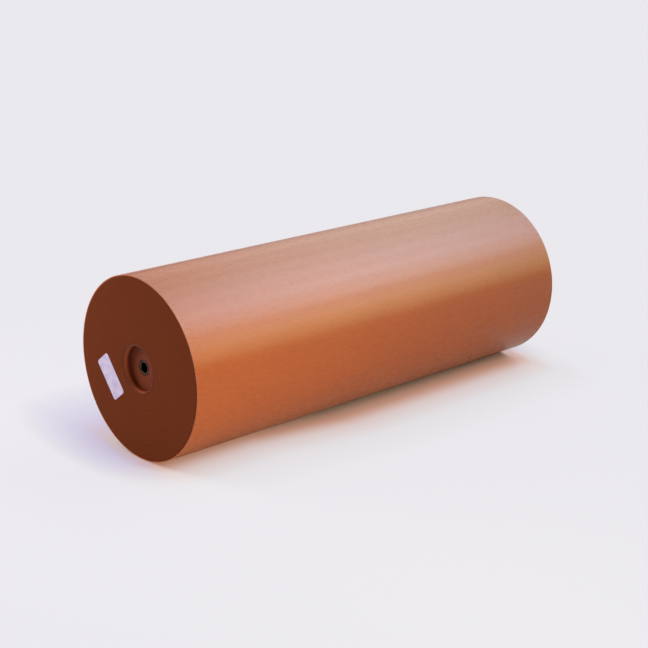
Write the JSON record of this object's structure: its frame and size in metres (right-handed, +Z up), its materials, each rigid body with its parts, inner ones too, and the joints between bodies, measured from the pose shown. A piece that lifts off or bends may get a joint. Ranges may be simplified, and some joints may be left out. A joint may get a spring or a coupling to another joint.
{
  "type": "rainstick",
  "caption": "Short, fat rainstick: a paper-wrapped board tube with pins inside, loose grains, and wooden end caps whose sunken bungs pull out.",
  "frame": {"origin": "on the ground, below the middle of the stick as it lies on its side", "axes": "+X along the tube, away from the end with the label; +Z up; the stick lies on its side with the grains at the bottom"},
  "size_m": [0.252, 0.09, 0.09],
  "materials": {
    "board": "matte",
    "kraft_paper": "satin",
    "stained_wood": "matte",
    "neck_card": "matte",
    "bung_wood": "satin",
    "eyelet_steel": "satin",
    "label_paper": "matte",
    "pin_steel": "satin",
    "pebble": "matte"
  },
  "bodies": {
    "stick": {"board_tube": "board", "kraft_wrap": "kraft_paper", "label_end_cap": "stained_wood", "plain_end_cap": "stained_wood", "label_end_neck": "neck_card", "plain_end_neck": "neck_card", "blank_label": "label_paper", "pin_row_01": "pin_steel", "pin_row_02": "pin_steel", "pin_row_03": "pin_steel", "pin_row_04": "pin_steel", "pin_row_05": "pin_steel", "pin_row_06": "pin_steel", "pin_row_07": "pin_steel", "pin_row_08": "pin_steel", "pin_row_09": "pin_steel", "pin_row_10": "pin_steel", "pin_row_11": "pin_steel", "pin_row_12": "pin_steel"},
    "label_end_plug": {"label_end_bung": "bung_wood", "label_end_eyelet": "eyelet_steel"},
    "plain_end_plug": {"plain_end_bung": "bung_wood", "plain_end_eyelet": "eyelet_steel"},
    "centre_stream": {"grains_centre": "pebble"},
    "front_stream": {"grains_front": "pebble"},
    "back_stream": {"grains_back": "pebble"}
  },
  "joints": [
    {"name": "label_end_bung_pull", "type": "slide", "parent": "stick", "child": "label_end_plug", "axis": [-1, 0, 0], "range_m": [0, 0.03]},
    {"name": "plain_end_bung_pull", "type": "slide", "parent": "stick", "child": "plain_end_plug", "axis": [1, 0, 0], "range_m": [0, 0.03]},
    {"name": "centre_stream_run", "type": "slide", "parent": "stick", "child": "centre_stream", "axis": [1, 0, 0], "range_m": [-0.039, 0.039]},
    {"name": "front_stream_run", "type": "slide", "parent": "stick", "child": "front_stream", "axis": [1, 0, 0], "range_m": [-0.039, 0.039]},
    {"name": "back_stream_run", "type": "slide", "parent": "stick", "child": "back_stream", "axis": [1, 0, 0], "range_m": [-0.039, 0.039]}
  ],
  "couplings": [
    {"joint": "front_stream_run", "follows": "centre_stream_run", "ratio": 1},
    {"joint": "back_stream_run", "follows": "centre_stream_run", "ratio": 1}
  ]
}
